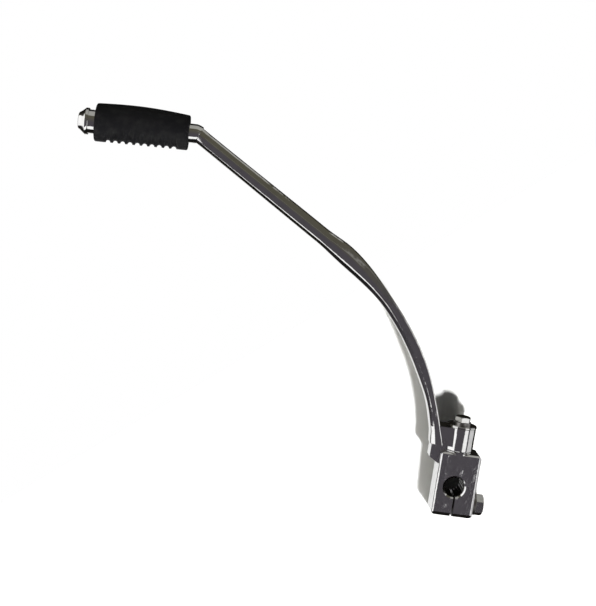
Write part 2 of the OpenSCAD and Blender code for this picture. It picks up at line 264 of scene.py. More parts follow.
def shaded(bm, mesh, material, angle):
    """Writes the mesh and makes its object. Corner normals follow the larger of the faces that meet below the
    angle, so that a flat face looks flat right up to the rounding beside it."""
    whole = bm.faces.layers.float.new("whole face")
    for f in bm.faces:
        f[whole] = f.calc_area()
    bmesh.ops.triangulate(bm, faces=[f for f in bm.faces if len(f.verts) > 4])
    limit = math.cos(math.radians(angle))
    normals = []
    for f in bm.faces:
        f.smooth = True
        for corner in f.loops:
            total = Vector()
            for g in corner.vert.link_faces:
                if g.normal.dot(f.normal) > limit:
                    total += g.normal * g[whole]
            normals.append(total.normalized())
    bm.faces.layers.float.remove(whole)
    bm.to_mesh(mesh)
    bm.free()
    mesh.normals_split_custom_set(normals)
    mesh.materials.clear()
    mesh.materials.append(material)
    obj = bpy.data.objects.new(mesh.name, mesh)
    bpy.context.scene.collection.objects.link(obj)
    return obj


# Points closer than this are one, in metres: in new pieces and in the CAD solids
SAME_POINT = 1e-7
CAD_SAME_POINT = 2e-6


def new_piece(name, verts, faces, material, angle):
    """A piece from points in millimetres, with its faces outwards and smooth below the angle."""
    mesh = bpy.data.meshes.new(name)
    mesh.from_pydata([Vector(v) * MM for v in verts], [], faces)
    bm = bmesh.new()
    bm.from_mesh(mesh)
    bmesh.ops.remove_doubles(bm, verts=bm.verts, dist=SAME_POINT)
    bmesh.ops.recalc_face_normals(bm, faces=bm.faces)
    return shaded(bm, mesh, material, angle)


# Faces that meet below the first angle are one flat face, and above the second one they meet in a sharp edge
FLAT_TURN = 0.6
EDGE_TURN = 25


def refined(node, body, material, worn=0.0, shortest=0.0, angle=30.0):
    """Replaces a CAD node with a welded copy, whose flat faces are flat and whose round faces are smooth. Its
    sharp edges from the shortest length up are rounded over by worn."""
    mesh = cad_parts[node].data.copy()
    mesh.name = node + "_finished"
    bm = bmesh.new()
    bm.from_mesh(mesh)
    bmesh.ops.remove_doubles(bm, verts=bm.verts, dist=CAD_SAME_POINT)
    bmesh.ops.dissolve_limit(bm, angle_limit=math.radians(FLAT_TURN), verts=bm.verts, edges=bm.edges)
    if worn:
        sharp = math.radians(EDGE_TURN)
        edges = [e for e in bm.edges if e.calc_length() > shortest * MM and len(e.link_faces) == 2
                 and e.calc_face_angle() > sharp]
        bmesh.ops.bevel(bm, geom=edges, offset=worn * MM, offset_type="WIDTH", segments=3, profile=0.5,
                        affect="EDGES", clamp_overlap=True)
    piece = shaded(bm, mesh, material, angle)
    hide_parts(node)
    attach(piece, body)


# Nodes

def put(tree, kind, inputs=(), **settings):
    """A node with these settings. Each input, by name or number, is linked to a socket or holds a value."""
    node = tree.nodes.new(kind)
    for name, value in settings.items():
        setattr(node, name, value)
    for key, value in dict(inputs).items():
        if isinstance(value, bpy.types.NodeSocket):
            tree.links.new(value, node.inputs[key])
        else:
            node.inputs[key].default_value = value
    return node


def calc(tree, operation, *values):
    """The result of a Math node on sockets or plain numbers."""
    return put(tree, "ShaderNodeMath", enumerate(values), operation=operation).outputs[0]


def ramp(tree, value, a, b, to_a, to_b, **settings):
    """The value, held between a and b, carried over to to_a and to_b."""
    inputs = enumerate((value, a, b, to_a, to_b))
    return put(tree, "ShaderNodeMapRange", inputs, **settings).outputs[0]


def blend_colour(tree, share, a, b, **settings):
    """A colour from a to b by share. A Mix node's inputs 6 and 7 are its colours."""
    inputs = {0: share, 6: a, 7: b}
    return put(tree, "ShaderNodeMix", inputs, data_type="RGBA", **settings).outputs[2]


def split_xyz(tree, vector):
    return put(tree, "ShaderNodeSeparateXYZ", {0: vector}).outputs


# Geometry Nodes

def node_shape(name, inputs):
    """An empty geometry tree with named inputs and a material, and the sockets that give them."""
    tree = bpy.data.node_groups.new(name, "GeometryNodeTree")
    for label, kind, value in inputs:
        socket = tree.interface.new_socket(label, in_out="INPUT", socket_type=kind)
        socket.default_value = value
    tree.interface.new_socket("Material", in_out="INPUT", socket_type="NodeSocketMaterial")
    tree.interface.new_socket("Geometry", in_out="OUTPUT", socket_type="NodeSocketGeometry")
    return tree, tree.nodes.new("NodeGroupInput").outputs


def end_shape(tree, geometry, sockets):
    """Ends a geometry tree in real geometry with its material set."""
    real = put(tree, "GeometryNodeRealizeInstances", {"Geometry": geometry})
    shade = put(tree, "GeometryNodeSetMaterial",
                {"Geometry": real.outputs["Geometry"], "Material": sockets["Material"]})
    put(tree, "NodeGroupOutput", {"Geometry": shade.outputs["Geometry"]})
    return tree


def grown(name, tree, material, place, values, angle):
    """Runs a geometry tree with these values. The result is a plain mesh, placed by a matrix in metres."""
    host = bpy.data.objects.new(name + "_host", bpy.data.meshes.new(name + "_host"))
    bpy.context.scene.collection.objects.link(host)
    mod = host.modifiers.new("shape", "NODES")
    mod.node_group = tree
    inputs = {i.name: i.identifier for i in tree.interface.items_tree if i.in_out == "INPUT"}
    for label, value in values.items():
        mod[inputs[label]] = value
    mod[inputs["Material"]] = material
    host.update_tag()
    bpy.context.view_layer.update()
    evaluated = host.evaluated_get(bpy.context.evaluated_depsgraph_get())
    mesh = bpy.data.meshes.new_from_object(evaluated)
    bpy.data.objects.remove(host)
    mesh.transform(place)
    mesh.name = name
    bm = bmesh.new()
    bm.from_mesh(mesh)
    return shaded(bm, mesh, material, angle)


def rubber_shape():
    """A tapered sleeve with a crowned top. Its grooves are cut round a raised centre, so that they run out
    half way up the sides. The sheet's long way is the sleeve's section, out along it and back in the bore."""
    tree, i = node_shape("Ribbed Rubber", [
        ("Length", "NodeSocketFloat", 0.06), ("Bore Radius", "NodeSocketFloat", 0.00617),
        ("Inner Radius", "NodeSocketFloat", 0.0112), ("Outer Radius", "NodeSocketFloat", 0.0122),
        ("Crown", "NodeSocketFloat", 0.0015), ("Collar", "NodeSocketFloat", 0.0065),
        ("Ribs", "NodeSocketInt", 10), ("Groove Depth", "NodeSocketFloat", 0.0015),
        ("Groove Lift", "NodeSocketFloat", 0.00175), ("Edge", "NodeSocketFloat", 0.0012)])
    crown_power = 1.3
    groove_share = 0.36
    groove_blend = 0.0004

    def m(operation, *values):
        return calc(tree, operation, *values)

    def square(value):
        return m("MULTIPLY", value, value)

    def arc(radius, off):
        """The height of a circle of that radius, off to one side of its middle."""
        return m("SQRT", m("MAXIMUM", 0.0, m("SUBTRACT", square(radius), square(off))))

    sheet = put(tree, "GeometryNodeMeshGrid",
                {"Size X": 1, "Size Y": 1, "Vertices X": 441, "Vertices Y": 97})
    spot = split_xyz(tree, tree.nodes.new("GeometryNodeInputPosition").outputs[0])
    u = m("ADD", spot["X"], 0.5)
    turn = m("MULTIPLY", m("ADD", spot["Y"], 0.5), math.tau)
    up = m("COSINE", turn)

    # The section: the inner end, the outside, the outer end and the bore
    inner_end, outside_end, bore_start = 0.02, 0.97, 0.98
    along = ramp(tree, u, inner_end, outside_end, 0.0, i["Length"])
    back = ramp(tree, u, bore_start, 1.0, 0.0, i["Length"])
    wall = m("MULTIPLY", ramp(tree, u, 0.0, inner_end, 0.0, 1.0),
             ramp(tree, u, outside_end, bore_start, 1.0, 0.0))

    # The crowned cone and its rounded ends
    share = m("DIVIDE", along, i["Length"])
    cone = ramp(tree, share, 0.0, 1.0, i["Inner Radius"], i["Outer Radius"])
    crown = m("MULTIPLY", i["Crown"], m("SINE", m("MULTIPLY", share, math.pi)))
    top = m("POWER", m("MAXIMUM", up, 0.0), crown_power)
    body = m("ADD", cone, m("MULTIPLY", crown, top))
    near_end = m("MINIMUM", i["Edge"], m("MINIMUM", along, m("SUBTRACT", i["Length"], along)))
    round_end = arc(i["Edge"], m("SUBTRACT", i["Edge"], near_end))
    body = m("SUBTRACT", body, m("SUBTRACT", i["Edge"], round_end))

    # The grooves between the two plain collars
    ribbed = m("SUBTRACT", i["Length"], m("MULTIPLY", i["Collar"], 2.0))
    pitch = m("DIVIDE", ribbed, i["Ribs"])
    beat = m("DIVIDE", m("SUBTRACT", along, i["Collar"]), pitch)
    inside = m("MULTIPLY", m("GREATER_THAN", beat, 0.0), m("LESS_THAN", beat, i["Ribs"]))
    off = m("MULTIPLY", m("SUBTRACT", m("FRACT", m("MAXIMUM", beat, 0.0)), 0.5), pitch)
    round_r = m("MULTIPLY", pitch, groove_share)
    bow = arc(round_r, off)
    floor = m("ADD", m("SUBTRACT", cone, i["Groove Depth"]),
              m("ADD", i["Groove Lift"], m("SUBTRACT", round_r, bow)))
    aside = m("MULTIPLY", i["Groove Lift"], m("SINE", turn))
    cut = m("ADD", m("MULTIPLY", i["Groove Lift"], up),
            m("SQRT", m("SUBTRACT", square(floor), square(aside))))
    cut = m("ADD", cut, m("SUBTRACT", 1.0, inside))
    grooved = m("SMOOTH_MIN", body, cut, groove_blend)

    radius = m("ADD", m("MULTIPLY", grooved, wall),
               m("MULTIPLY", i["Bore Radius"], m("SUBTRACT", 1.0, wall)))
    point = put(tree, "ShaderNodeCombineXYZ", {
        "X": m("MULTIPLY", radius, up), "Y": m("MULTIPLY", radius, m("SINE", turn)),
        "Z": m("SUBTRACT", along, back)})
    moved = put(tree, "GeometryNodeSetPosition",
                {"Geometry": sheet.outputs["Mesh"], "Position": point.outputs[0]})
    joined = put(tree, "GeometryNodeMergeByDistance",
                 {"Geometry": moved.outputs["Geometry"], "Distance": 1e-6})
    return end_shape(tree, joined.outputs["Geometry"], i)


def coil_shape():
    """A round wire wound on a helix along Z."""
    tree, i = node_shape("Wound Spring", [
        ("Turns", "NodeSocketFloat", 5.0), ("Radius", "NodeSocketFloat", 0.00145),
        ("Height", "NodeSocketFloat", 0.0047), ("Wire", "NodeSocketFloat", 0.00028)])
    path = put(tree, "GeometryNodeCurveSpiral", {
        "Resolution": 40, "Rotations": i["Turns"], "Start Radius": i["Radius"],
        "End Radius": i["Radius"], "Height": i["Height"]})
    wire = put(tree, "GeometryNodeCurvePrimitiveCircle", {"Resolution": 12, "Radius": i["Wire"]})
    sweep = put(tree, "GeometryNodeCurveToMesh", {
        "Curve": path.outputs["Curve"], "Profile Curve": wire.outputs["Curve"], "Fill Caps": True})
    return end_shape(tree, sweep.outputs["Mesh"], i)


# Shared effects

def effect_group(name, inputs, outputs):
    """A shader group with a Vector input, number inputs with these values and number outputs. Returns its
    nodes, the sockets that give the inputs and the node that takes the outputs."""
    tree = bpy.data.node_groups.new(name, "ShaderNodeTree")
    tree.interface.new_socket("Vector", in_out="INPUT", socket_type="NodeSocketVector")
    for label, value in inputs.items():
        socket = tree.interface.new_socket(label, in_out="INPUT", socket_type="NodeSocketFloat")
        socket.default_value = value
    for label in outputs:
        tree.interface.new_socket(label, in_out="OUTPUT", socket_type="NodeSocketFloat")
    return tree, tree.nodes.new("NodeGroupInput").outputs, tree.nodes.new("NodeGroupOutput")


def plating_waves():
    """Long shallow waves and fine pits of polished, plated steel, as a height and a mask of dull spots."""
    tree, i, out = effect_group(
        "Plating Waves", {"Wave Scale": 90.0, "Pit Scale": 900.0, "Pits": 0.3}, ["Height", "Dull"])

    def noise(scale, detail, roughness):
        inputs = {"Vector": i["Vector"], "Scale": i[scale], "Detail": detail, "Roughness": roughness}
        return put(tree, "ShaderNodeTexNoise", inputs).outputs["Fac"]

    waves = noise("Wave Scale", detail=2.0, roughness=0.45)
    pits = ramp(tree, noise("Pit Scale", detail=3.0, roughness=0.6), 0.36, 0.5, -1.0, 0.0)
    height = calc(tree, "ADD", waves, calc(tree, "MULTIPLY", pits, i["Pits"]))
    dull = ramp(tree, noise("Wave Scale", detail=6.0, roughness=0.7), 0.45, 0.75, 0.0, 1.0)
    tree.links.new(height, out.inputs["Height"])
    tree.links.new(dull, out.inputs["Dull"])
    return tree


def bore_and_slit():
    """A mask that is 1 on the walls of the boss's bore and slit, where painted shade goes."""
    sizes = {"Bore Radius": 0.00705, "Slit Middle": 0.0012, "Slit Half Width": 0.00066}
    tree, i, out = effect_group("Bore And Slit", sizes, ["Mask"])
    spot = split_xyz(tree, i["Vector"])
    x, z = spot["X"], spot["Z"]
    reach = calc(tree, "SQRT", calc(tree, "ADD", calc(tree, "MULTIPLY", x, x), calc(tree, "MULTIPLY", z, z)))
    bore = calc(tree, "LESS_THAN", reach, i["Bore Radius"])
    aside = calc(tree, "ABSOLUTE", calc(tree, "SUBTRACT", x, i["Slit Middle"]))
    slit = calc(tree, "MULTIPLY", calc(tree, "LESS_THAN", aside, i["Slit Half Width"]),
                calc(tree, "LESS_THAN", z, 0.0))
    tree.links.new(calc(tree, "MAXIMUM", bore, slit), out.inputs["Mask"])
    return tree


# Finishes. Relief is in millimetres, and the scales are those of the noise

def uneven(material, colour, dull_colour, rough, dull_rough, relief, wave_scale, pit_scale, pits,
           strength=1.0):
    """Gives a material a colour and a gloss that vary in patches, over waves and pits up to relief deep.
    Returns its nodes and its shader."""
    material.use_nodes = True
    tree = material.node_tree
    shader = tree.nodes["Principled BSDF"]
    where = tree.nodes.new("ShaderNodeTexCoord").outputs["Object"]
    waves = bpy.data.node_groups.get("Plating Waves") or plating_waves()
    scales = {"Vector": where, "Wave Scale": wave_scale, "Pit Scale": pit_scale, "Pits": pits}
    fx = put(tree, "ShaderNodeGroup", scales, node_tree=waves)
    dull = fx.outputs["Dull"]
    tree.links.new(blend_colour(tree, dull, colour, dull_colour), shader.inputs["Base Color"])
    tree.links.new(ramp(tree, dull, 0.0, 1.0, rough, dull_rough), shader.inputs["Roughness"])
    lift = put(tree, "ShaderNodeBump",
               {"Height": fx.outputs["Height"], "Strength": strength, "Distance": relief * MM})
    tree.links.new(lift.outputs["Normal"], shader.inputs["Normal"])
    return tree, shader


def metal(material, *colours, **looks):
    """Gives a material the uneven finish of plated or bare metal."""
    tree, shader = uneven(material, *colours, **looks)
    shader.inputs["Metallic"].default_value = 1.0
    return tree, shader


def chosen(colour):
    """A colour that the user chose in the panel."""
    return tuple(getattr(bpy.context.scene.kick_lever_colours, colour))


DULL_CHROME = (0.68, 0.68, 0.66, 1.0)
DULL_CAST_CHROME = (0.66, 0.65, 0.66, 1.0)
PAINTED_RECESS_SHADE = (0.06, 0.057, 0.052, 1.0)
DULL_STEEL = (0.6, 0.6, 0.58, 1.0)
BALL_STEEL = (0.82, 0.82, 0.82, 1.0)
SPRING_STEEL = (0.32, 0.31, 0.3, 1.0)
DULL_SPRING_STEEL = (0.2, 0.19, 0.18, 1.0)
DULL_RUBBER = (0.016, 0.016, 0.016, 1.0)


def chrome_plate(material):
    """Chrome plate on the polished arm, with long rolling waves."""
    metal(material, chosen("chrome"), DULL_CHROME, rough=0.05, dull_rough=0.12, relief=0.24,
          wave_scale=130.0, pit_scale=1500.0, pits=0.003)


def cast_chrome(material):
    """Chrome plate on the rougher boss. The walls of its bore and slit get painted shade, a dark colour, and
    are dull.
    """
    tree, shader = metal(
        material, chosen("chrome"), DULL_CAST_CHROME, rough=0.1, dull_rough=0.2, relief=0.52,
        wave_scale=160.0, pit_scale=1300.0, pits=0.002)
    where = tree.nodes.new("ShaderNodeTexCoord").outputs["Object"]
    mask = put(tree, "ShaderNodeGroup", {"Vector": where}, node_tree=bore_and_slit()).outputs["Mask"]
    plated = shader.inputs["Base Color"].links[0].from_socket
    gloss = shader.inputs["Roughness"].links[0].from_socket
    # Painted shade: the walls of the bore and slit are coloured dark
    tree.links.new(blend_colour(tree, mask, plated, PAINTED_RECESS_SHADE), shader.inputs["Base Color"])
    tree.links.new(ramp(tree, mask, 0.0, 1.0, gloss, 0.38), shader.inputs["Roughness"])


def zinc_plate(material):
    """Bright zinc on the bolts and the pivot's washer."""
    metal(material, chosen("zinc"), DULL_STEEL, rough=0.08, dull_rough=0.2, relief=0.12,
          wave_scale=300.0, pit_scale=2000.0, pits=0.02)


def dark_spring_steel(material):
    """Bare dark steel of the lock washers and the detent's spring."""
    metal(material, SPRING_STEEL, DULL_SPRING_STEEL, rough=0.32, dull_rough=0.5, relief=0.12,
          wave_scale=300.0, pit_scale=2000.0, pits=0.05)


def bearing_steel(material):
    """Ground and polished steel of the detent's ball."""
    metal(material, BALL_STEEL, DULL_STEEL, rough=0.06, dull_rough=0.1, relief=0.015,
          wave_scale=300.0, pit_scale=2000.0, pits=0.1)


def black_rubber(material):
    """Moulded black rubber with a low sheen."""
    shader = uneven(
        material, chosen("rubber"), DULL_RUBBER, rough=0.5, dull_rough=0.65, relief=0.2,
        wave_scale=160.0, pit_scale=2600.0, pits=0.5, strength=0.35)[1]
    shader.inputs["Specular IOR Level"].default_value = 0.12


FINISHES = {
    "chrome plate": chrome_plate,
    "cast chrome": cast_chrome,
    "zinc plate": zinc_plate,
    "dark spring steel": dark_spring_steel,
    "bearing steel": bearing_steel,
    "black rubber": black_rubber,
}


def finish(name):
    """The finish of that name, made at its first use."""
    material = bpy.data.materials.get(name)
    if material is None:
        material = bpy.data.materials.new(name)
        FINISHES[name](material)
    return material


# Settings

class LeverSizes(bpy.types.PropertyGroup):
    rib_count: bpy.props.IntProperty(
        name="Ribs", description="Number of grooves across the rubber's underside", default=10, min=8, max=12)
    rib_depth: bpy.props.FloatProperty(
        name="Rib depth", description="Depth of the grooves on the underside", default=0.0015, min=0.0008,
        max=0.002, unit="LENGTH", precision=4)
    rubber_inner: bpy.props.FloatProperty(
        name="Rubber inner end", description="Diameter of the rubber next to the arm", default=0.0224,
        min=0.021, max=0.025, unit="LENGTH", precision=4)
    rubber_outer: bpy.props.FloatProperty(
        name="Rubber outer end", description="Diameter of the rubber next to the peg's button",
        default=0.0244, min=0.022, max=0.026, unit="LENGTH", precision=4)
    rubber_crown: bpy.props.FloatProperty(
        name="Rubber crown", description="Rise of the crown along the rubber's top", default=0.0015,
        min=0.001, max=0.003, unit="LENGTH", precision=4)


class LeverColours(bpy.types.PropertyGroup):
    chrome: bpy.props.FloatVectorProperty(
        name="Chrome", description="Colour of the chrome plate", subtype="COLOR", size=4,
        default=(0.80, 0.80, 0.79, 1.0), min=0.0, max=1.0)
    zinc: bpy.props.FloatVectorProperty(
        name="Zinc", description="Colour of the zinc plate", subtype="COLOR", size=4,
        default=(0.72, 0.72, 0.70, 1.0), min=0.0, max=1.0)
    rubber: bpy.props.FloatVectorProperty(
        name="Rubber", description="Colour of the rubber", subtype="COLOR", size=4,
        default=(0.007, 0.007, 0.008, 1.0), min=0.0, max=1.0)


# The arm's sub-parts, each as points and faces

def along_peg(unit=1.0, start=0.0):
    """The matrix that puts Z along the peg and the origin at its root, or at a start beyond it."""
    root = Vector((PEG_ROOT.x, 0, PEG_ROOT.y)) * unit
    tilt = Matrix.Rotation(math.radians(-90 - PEG_DROOP), 4, "Y")
    return Matrix.Translation(root) @ tilt @ Matrix.Translation((0, 0, start * unit))


def arm_bar():
    """The long arm, from the foot to just inside the peg."""
    rings = []
    for k in range(ARM_RINGS + 1):
        s = (PATH_L + PEG_OVERLAP) * k / ARM_RINGS
        p = path_at(s)
        n = right_of(90 + (path_dir(s) - 90) * ease(s / LEVEL_L))
        outline = rounded(arm_corners(arm_section(s)))
        rings.append([(p.x + n.x * c.x, -c.y, p.y + n.y * c.x) for c in outline])
    return skin(rings)


def eye_web():
    """The web between foot and eye. On each side a fillet leads into the eye, smaller towards the top."""
    rings = []
    end = -FOOT_REACH - WEB_OVERLAP
    for k in range(WEB_RINGS + 1):
        t = k / WEB_RINGS
        z = mix(FOOT_Z, WEB_TOP, t)
        h = mix(*WEB_HALF, t)
        r = mix(*WEB_FILLET, t)
        cx, cy = -math.sqrt((EYE_R - WEB_SINK + r) ** 2 - (h + r) ** 2), -h - r
        square_on, touch = math.pi / 2, math.atan2(-cy, -cx)
        front = []
        for j in range(FILLET_STEPS + 1):
            b = mix(square_on, touch, j / FILLET_STEPS)
            front.append((cx + r * math.cos(b), cy + r * math.sin(b)))
        x, y = front[-1]
        inner = math.atan2(-y, -x)
        wall = [(-WEB_WALL_R * math.cos(inner * share), -WEB_WALL_R * math.sin(inner * share))
                for share in (0.95, 0.5, 0, -0.5, -0.95)]
        rear = [(x, -y) for x, y in reversed(front)]
        rings.append([(x, y, z) for x, y in front + wall + rear + [(end, h), (end, -h)]])
    return skin(rings)


def eye_ring():
    """The eye, with the same worn edges at both ends."""
    bore = SPINDLE_R + RUN_GAP
    worn = 0.2
    edge = [(bore, BORE_EDGE), (bore + BORE_EDGE, 0), (EYE_R - EYE_EDGE, 0), (EYE_R - worn, worn),
            (EYE_R, EYE_EDGE)]
    low = [(r, EYE_Z + z) for r, z in edge]
    high = [(r, EYE_TOP - z) for r, z in reversed(edge)]
    return lathe(low + high, Matrix.Identity(4), closed=True)


def peg_and_button():
    """The round peg, the collar beyond the rubber and the button that holds the rubber on."""
    axis, r = 0.01, PEG_D / 2
    button = PEG_L - BUTTON_L
    collar = button - COLLAR_L
    rim = button + 0.6
    outline = [
        (axis, -PEG_BURIED), (r - 1.5, -PEG_BURIED), (r - 0.6, -4), (r, -2),
        (r, collar), (COLLAR_R - 0.2, collar), (COLLAR_R, collar + 0.2), (COLLAR_R, rim),
        (BUTTON_R - 0.5, rim), (BUTTON_R - 0.15, rim + 0.15), (BUTTON_R, rim + 0.5), (BUTTON_R, rim + 1.8),
        (BUTTON_R - 0.15, rim + 2.3), (BUTTON_R - 0.7, rim + 2.8), (BUTTON_R - 2.4, rim + 4.8),
        (BUTTON_R - 3.0, PEG_L - 0.8), (BUTTON_R - 3.3, PEG_L - 0.25), (BUTTON_R - 3.8, PEG_L), (axis, PEG_L)]
    return lathe(outline, along_peg())


# The pieces

class KICK_OT_arm(bpy.types.Operator):
    """Makes the one-piece arm: eye, foot, long bend, flattened middle, upper bar and peg"""
    bl_idname = "kick_lever.arm"
    bl_label = "Arm"

    def execute(self, context):
        verts, faces = merged(arm_bar(), eye_web(), eye_ring(), peg_and_button())
        piece = new_piece("kick_arm_forging", verts, faces, finish("chrome plate"), angle=32)
        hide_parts("kick_arm")
        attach(piece, "arm")
        return {"FINISHED"}


class KICK_OT_rubber(bpy.types.Operator):
    """Makes the ribbed rubber on the peg"""
    bl_idname = "kick_lever.rubber"
    bl_label = "Rubber"

    def execute(self, context):
        sizes = context.scene.kick_lever_sizes
        values = {
            "Length": RUBBER_L * MM, "Bore Radius": (PEG_D / 2 + FIT_GAP) * MM,
            "Inner Radius": sizes.rubber_inner / 2, "Outer Radius": sizes.rubber_outer / 2,
            "Crown": sizes.rubber_crown, "Ribs": sizes.rib_count, "Groove Depth": sizes.rib_depth}
        piece = grown("ribbed_rubber", rubber_shape(), finish("black rubber"), along_peg(MM, RUBBER_START),
                      values, angle=50)
        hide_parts("peg_rubber")
        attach(piece, "arm")
        return {"FINISHED"}


class KICK_OT_boss(bpy.types.Operator):
    """Dresses the splined clamp boss"""
    bl_idname = "kick_lever.boss"
    bl_label = "Clamp boss"

    def execute(self, context):
        refined("clamp_boss", "boss", finish("cast chrome"), worn=0.5, shortest=5.0)
        return {"FINISHED"}


class KICK_OT_fasteners(bpy.types.Operator):
    """Dresses the bolts and their washers"""
    bl_idname = "kick_lever.fasteners"
    bl_label = "Bolts and washers"

    def execute(self, context):
        for node in ("pinch_bolt", "pivot_bolt", "pivot_washer"):
            refined(node, "boss", finish("zinc plate"), worn=0.25, shortest=2.0)
        for node in ("pinch_lock_washer", "pivot_lock_washer"):
            refined(node, "boss", finish("dark spring steel"))
        return {"FINISHED"}


class KICK_OT_detent(bpy.types.Operator):
    """Dresses the ball and winds the spring that hold the arm folded"""
    bl_idname = "kick_lever.detent"
    bl_label = "Detent"

    def execute(self, context):
        refined("detent_ball", "ball", finish("bearing steel"), angle=60)
        start = Vector((SPRING_START, 0, BALL_Z)) * MM
        place = Matrix.Translation(start) @ Matrix.Rotation(math.radians(90), 4, "Y")
        spring = grown("detent_spring_wound", coil_shape(), finish("dark spring steel"), place,
                       {"Height": SPRING_L * MM}, angle=60)
        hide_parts("detent_spring")
        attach(spring, "boss")
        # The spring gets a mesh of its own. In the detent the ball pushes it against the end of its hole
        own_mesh(spring)
        return {"FINISHED"}


# The tent that the chrome reflects is painted reflection: it glows and only reflections see it. Directions
# are azimuth and elevation in degrees seen from the lever, with azimuth 0 towards the camera and 90 towards
# +X.
# Each painted softbox is a bright patch of painted reflection: azimuth, elevation, tilt, width, height, power
PAINTED_SOFTBOXES = [
    (37, -8, 0, 30, 44, 1.0),
    (90, 0, 0, 50, 70, 0.6),
    (-70, 2, 0, 60, 70, 1.1),
    (-166, -18, 0, 40, 24, 0.9),
    (26, 32, -40, 40, 3, 0.14),
    (-30, -55, 20, 60, 22, 1.2),
    (0, 88, 0, 50, 50, 0.3),
]
SOFTBOX_EDGE = 0.03

# The tent's colours of painted reflection, dark low down and behind, each with the stretch in metres over
# which
# it passes into the next: the floor's and the roof's along Z, the rear's along Y
TENT_R = 1.6
FLOOR_REFLECTION_PAINT = (0.008, 0.008, 0.009, 1)
SIDE_REFLECTION_PAINT = (0.08, 0.073, 0.084, 1)
ROOF_REFLECTION_PAINT = (0.1, 0.094, 0.07, 1)
REAR_REFLECTION_PAINT = (0.012, 0.011, 0.009, 1)
FLOOR_FADE = (-1.35, -1.0)
ROOF_FADE = (0.0, 1.2)
REAR_FADE = (0.1, 0.7)


def painted_softbox_mask():
    """How far a direction lies inside a soft-edged rectangle of painted reflection."""
    values = {"Azimuth": 0.0, "Elevation": 0.0, "Tilt": 0.0,
              "Half Width": 0.2, "Half Height": 0.2, "Edge": SOFTBOX_EDGE}
    tree, i, out = effect_group("Softbox Mask", values, ["Mask"])

    def turned(vector, axis, angle):
        inputs = {"Vector": vector, "Angle": angle}
        return put(tree, "ShaderNodeVectorRotate", inputs, rotation_type=axis).outputs[0]

    v = turned(i["Vector"], "Z_AXIS", calc(tree, "MULTIPLY", i["Azimuth"], -1.0))
    v = turned(v, "X_AXIS", i["Elevation"])
    spot = split_xyz(tree, turned(v, "Y_AXIS", i["Tilt"]))
    ahead = calc(tree, "MAXIMUM", calc(tree, "MULTIPLY", spot["Y"], -1.0), 0.001)

    def inside(axis, half):
        far = calc(tree, "ABSOLUTE", calc(tree, "DIVIDE", spot[axis], ahead))
        starts = calc(tree, "SUBTRACT", half, i["Edge"])
        ends = calc(tree, "ADD", half, i["Edge"])
        return ramp(tree, far, starts, ends, 1.0, 0.0, interpolation_type="SMOOTHSTEP")

    mask = calc(tree, "MULTIPLY", inside("X", i["Half Width"]), inside("Z", i["Half Height"]))
    tree.links.new(mask, out.inputs["Mask"])
    return tree


def painted_reflection_material():
    """Painted reflection that glows by itself, dark low down and behind, with the painted softboxes in it. It
    lights nothing by bounce."""
    material = bpy.data.materials.new("tent cloth")
    material.use_nodes = True
    tree = material.node_tree
    tree.nodes.remove(tree.nodes["Principled BSDF"])
    where = tree.nodes.new("ShaderNodeTexCoord").outputs["Object"]
    mask = painted_softbox_mask()
    light = None
    for azimuth, elevation, tilt, width, height, power in PAINTED_SOFTBOXES:
        box = put(tree, "ShaderNodeGroup", {
            "Vector": where, "Azimuth": math.radians(azimuth), "Elevation": math.radians(elevation),
            "Tilt": math.radians(tilt), "Half Width": math.tan(math.radians(width / 2)),
            "Half Height": math.tan(math.radians(height / 2)), "Edge": SOFTBOX_EDGE}, node_tree=mask)
        lit = calc(tree, "MULTIPLY", box.outputs["Mask"], power)
        light = lit if light is None else calc(tree, "MAXIMUM", light, lit)
    spot = split_xyz(tree, where)
    reflection_paint = blend_colour(tree, ramp(tree, spot["Z"], *FLOOR_FADE, 0.0, 1.0), FLOOR_REFLECTION_PAINT, SIDE_REFLECTION_PAINT)
    reflection_paint = blend_colour(tree, ramp(tree, spot["Z"], *ROOF_FADE, 0.0, 1.0), reflection_paint, ROOF_REFLECTION_PAINT)
    reflection_paint = blend_colour(tree, ramp(tree, spot["Y"], *REAR_FADE, 0.0, 1.0), reflection_paint, REAR_REFLECTION_PAINT)
    # The painted reflection: the tent's dark colours with the painted softboxes added
    total = blend_colour(tree, 1.0, reflection_paint, light, blend_type="ADD")
    bounces = tree.nodes.new("ShaderNodeLightPath").outputs["Diffuse Depth"]
    glow = put(tree, "ShaderNodeEmission",
               {"Color": total, "Strength": calc(tree, "LESS_THAN", bounces, 0.5)})
    tree.links.new(glow.outputs[0], tree.nodes["Material Output"].inputs["Surface"])
    return material


def painted_reflection_tent():
    """A glowing tent round the lever that only reflections see: it paints the reflections in the chrome."""
    reflection_paint = painted_reflection_material()
    bm = bmesh.new()
    bmesh.ops.create_icosphere(bm, subdivisions=5, radius=TENT_R)
    mesh = bpy.data.meshes.new("tent")
    bm.to_mesh(mesh)
    bm.free()
    mesh.materials.append(reflection_paint)
    tent = bpy.data.objects.new("tent", mesh)
    bpy.context.scene.collection.objects.link(tent)
    for ray in ("camera", "diffuse", "transmission", "volume_scatter", "shadow"):
        setattr(tent, "visible_" + ray, False)


# The stage, in metres. The backdrop stands at SHEET_AT + SHEET_LEAN * z along Y
SHEET_HALF = 3.0
FLOOR_AT = -0.7
SHEET_TOP = 3.0
SHEET_AT = 0.0115
SHEET_LEAN = 0.1

# The camera sees the paper plain white where WHITE_SLOPE * z - x is past WHITE_ABOVE, and below WHITE_BELOW
WHITE_SLOPE = 1.25
WHITE_ABOVE = (0.2, 0.23)
WHITE_BELOW = -0.5

# The lamps' aim, and the strength of the world as it lights and as it is seen
AIM = (-0.08, 0.0, 0.08)
WORLD_LIGHT = 0.04
WORLD_SEEN = 1.1

